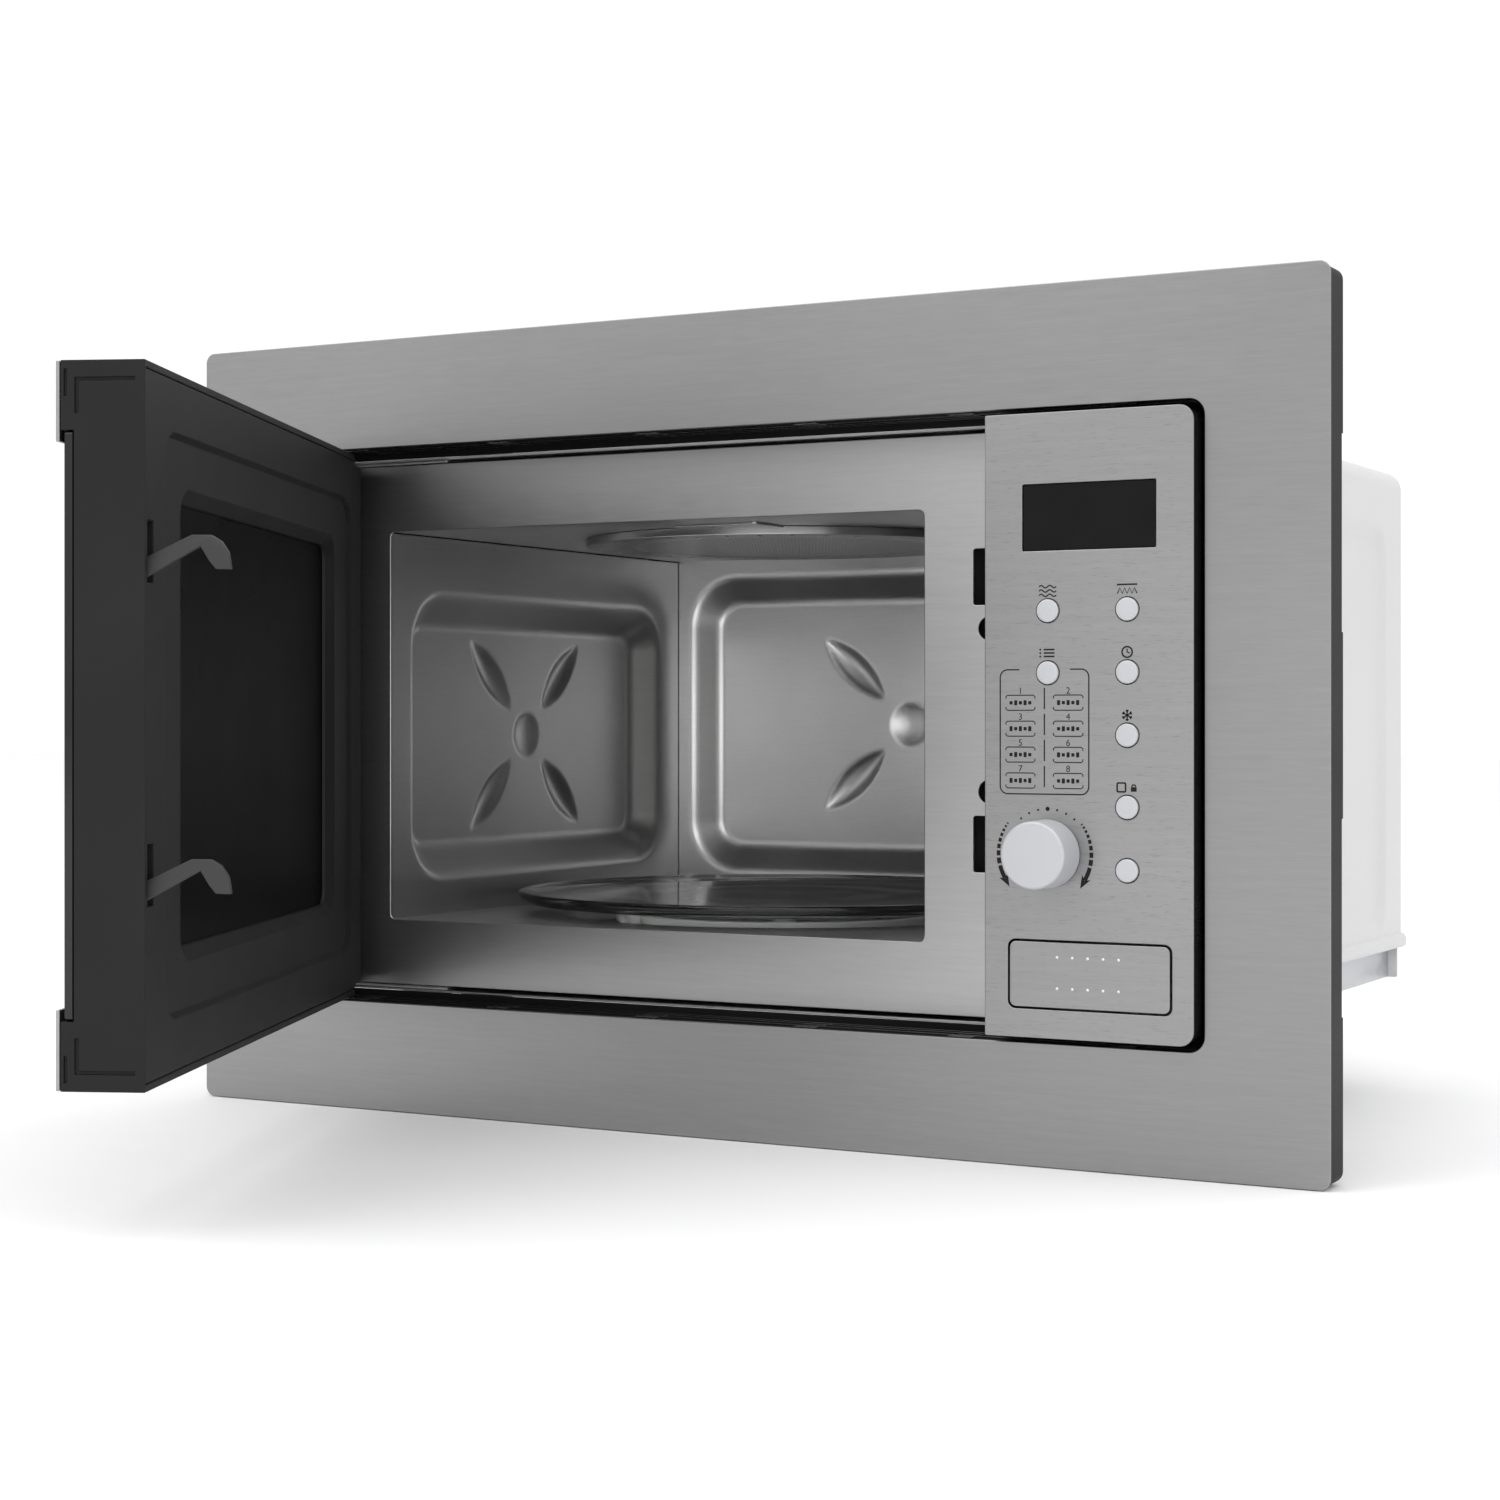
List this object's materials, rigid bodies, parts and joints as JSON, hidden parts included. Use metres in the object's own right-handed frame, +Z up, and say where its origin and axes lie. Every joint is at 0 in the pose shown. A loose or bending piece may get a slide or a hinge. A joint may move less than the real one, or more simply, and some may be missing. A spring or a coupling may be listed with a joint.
{
  "type": "built-in microwave oven",
  "caption": "Built-in microwave oven with grill: brushed steel trim frame, side-hinged glass door standing open, button and knob panel, glass turntable.",
  "frame": {"origin": "middle of the lower rail of the trim frame, on the rear face of the pad that meets the cupboard", "axes": "+X to the right seen from the front, +Y into the cupboard, +Z up; stored with the door open"},
  "size_m": [0.595, 0.7003, 0.388],
  "materials": {
    "brushed_steel": "brushed, horizontal grain",
    "cavity_steel": "satin sheet steel",
    "zinc_plate": "zinc plated",
    "white_cabinet_paint": "satin white paint",
    "black_plastic": "moulded, semi-gloss",
    "silver_plastic": "silver painted",
    "white_plastic": "moulded",
    "black_glass": "polished",
    "smoked_window": "polished",
    "clear_glass": "polished",
    "mica": "matt mica sheet",
    "rubber": "moulded",
    "circuit_board": "solder resist",
    "copper_windings": "enamelled wire",
    "aluminium": "satin",
    "dark_iron": "laminated or sheathed"
  },
  "bodies": {
    "oven": {"trim_facing": "brushed_steel", "front_plate": "brushed_steel", "panel_facing": "brushed_steel", "cavity_shell": "cavity_steel", "grill_guard": "cavity_steel", "base_plate": "zinc_plate", "upper_hinge": "zinc_plate", "lower_hinge": "zinc_plate", "waveguide": "zinc_plate", "turntable_motor": "zinc_plate", "fan_motor": "zinc_plate", "rotary_encoder": "zinc_plate", "grill_reflector": "zinc_plate", "outer_wrapper": "white_cabinet_paint", "rear_panel": "white_cabinet_paint", "trim_carrier": "black_plastic", "panel_carrier": "black_plastic", "cord_gland": "black_plastic", "door_switch_upper": "black_plastic", "door_switch_lower": "black_plastic", "latch_board": "white_plastic", "fan_shroud": "white_plastic", "display_window": "smoked_window", "oven_lamp": "clear_glass", "waveguide_cover": "mica", "foot_front_left": "rubber", "foot_front_right": "rubber", "foot_rear_left": "rubber", "foot_rear_right": "rubber", "control_board": "circuit_board", "transformer_windings": "copper_windings", "magnetron": "aluminium", "hv_capacitor": "aluminium", "transformer_core": "dark_iron", "grill_element": "dark_iron"},
    "door": {"door_frame": "black_plastic", "door_screen": "zinc_plate", "door_glass": "black_glass", "door_top_facing": "brushed_steel", "door_bottom_facing": "brushed_steel", "latch_spring": "zinc_plate"},
    "latch": {"latch_hook": "black_plastic"},
    "knob": {"selector_knob": "silver_plastic"},
    "release_button": {"door_release_button": "brushed_steel"},
    "lever": {"release_lever": "white_plastic"},
    "fan": {"fan_blade": "black_plastic"},
    "turntable": {"turntable_coupler": "white_plastic", "glass_turntable": "clear_glass"},
    "ring": {"roller_ring": "white_plastic"},
    "roller_a": {"roller_1": "white_plastic"},
    "roller_b": {"roller_2": "white_plastic"},
    "roller_c": {"roller_3": "white_plastic"},
    "button_power_cap": {"button_power": "silver_plastic"},
    "button_grill_cap": {"button_grill": "silver_plastic"},
    "button_menu_cap": {"button_menu": "silver_plastic"},
    "button_clock_cap": {"button_clock": "silver_plastic"},
    "button_defrost_cap": {"button_defrost": "silver_plastic"},
    "button_stop_cap": {"button_stop": "silver_plastic"},
    "button_start_cap": {"button_start": "silver_plastic"}
  },
  "joints": [
    {"name": "door_hinge", "type": "hinge", "parent": "oven", "child": "door", "pos_m": [-0.231, -0.0169, 0.1668], "axis": [0, 0, 1], "range_deg": [-23.9, 66.1]},
    {"name": "latch_lift", "type": "slide", "parent": "door", "child": "latch", "axis": [0, 0, 1], "range_m": [0, 0.006], "stiffness_N_per_m": 150, "springref_m": -0.004, "deforming": ["latch_spring"]},
    {"name": "door_release", "type": "slide", "parent": "oven", "child": "release_button", "axis": [0, 1, 0], "range_m": [0, 0.006], "stiffness_N_per_m": 300, "springref_m": -0.003},
    {"name": "lever_turn", "type": "hinge", "parent": "oven", "child": "lever", "pos_m": [0.1363, 0.015, 0.0968], "axis": [1, 0, 0], "range_deg": [0, 11.5]},
    {"name": "knob_turn", "type": "hinge", "parent": "oven", "child": "knob", "pos_m": [0.1746, -0.046, 0.1108], "axis": [0, 1, 0], "continuous": true},
    {"name": "fan_spin", "type": "hinge", "parent": "oven", "child": "fan", "pos_m": [0.168, 0.303, 0.1868], "axis": [0, 1, 0], "continuous": true},
    {"name": "turntable_spin", "type": "hinge", "parent": "oven", "child": "turntable", "pos_m": [-0.05025, 0.15925, 0.0721], "axis": [0, 0, 1], "continuous": true},
    {"name": "ring_spin", "type": "hinge", "parent": "oven", "child": "ring", "pos_m": [-0.05025, 0.15925, 0.06495], "axis": [0, 0, 1], "continuous": true},
    {"name": "roller_a_spin", "type": "hinge", "parent": "ring", "child": "roller_a", "pos_m": [0.04475, 0.15925, 0.06495], "axis": [1, 0, 0], "continuous": true},
    {"name": "roller_b_spin", "type": "hinge", "parent": "ring", "child": "roller_b", "pos_m": [-0.09775, 0.24152, 0.06495], "axis": [-0.5, 0.866, 0], "continuous": true},
    {"name": "roller_c_spin", "type": "hinge", "parent": "ring", "child": "roller_c", "pos_m": [-0.09775, 0.07698, 0.06495], "axis": [-0.5, -0.866, 0], "continuous": true},
    {"name": "button_power_press", "type": "slide", "parent": "oven", "child": "button_power_cap", "axis": [0, 1, 0], "range_m": [0, 0.0012], "stiffness_N_per_m": 250, "springref_m": -0.001},
    {"name": "button_grill_press", "type": "slide", "parent": "oven", "child": "button_grill_cap", "axis": [0, 1, 0], "range_m": [0, 0.0012], "stiffness_N_per_m": 250, "springref_m": -0.001},
    {"name": "button_menu_press", "type": "slide", "parent": "oven", "child": "button_menu_cap", "axis": [0, 1, 0], "range_m": [0, 0.0012], "stiffness_N_per_m": 250, "springref_m": -0.001},
    {"name": "button_clock_press", "type": "slide", "parent": "oven", "child": "button_clock_cap", "axis": [0, 1, 0], "range_m": [0, 0.0012], "stiffness_N_per_m": 250, "springref_m": -0.001},
    {"name": "button_defrost_press", "type": "slide", "parent": "oven", "child": "button_defrost_cap", "axis": [0, 1, 0], "range_m": [0, 0.0012], "stiffness_N_per_m": 250, "springref_m": -0.001},
    {"name": "button_stop_press", "type": "slide", "parent": "oven", "child": "button_stop_cap", "axis": [0, 1, 0], "range_m": [0, 0.0012], "stiffness_N_per_m": 250, "springref_m": -0.001},
    {"name": "button_start_press", "type": "slide", "parent": "oven", "child": "button_start_cap", "axis": [0, 1, 0], "range_m": [0, 0.0012], "stiffness_N_per_m": 250, "springref_m": -0.001}
  ],
  "couplings": [
    {"joint": "lever_turn", "follows": "door_release", "rad_per_m": 33.33},
    {"joint": "ring_spin", "follows": "turntable_spin", "ratio": 0.5},
    {"joint": "roller_a_spin", "follows": "turntable_spin", "ratio": -6.9343},
    {"joint": "roller_b_spin", "follows": "turntable_spin", "ratio": -6.9343},
    {"joint": "roller_c_spin", "follows": "turntable_spin", "ratio": -6.9343}
  ]
}
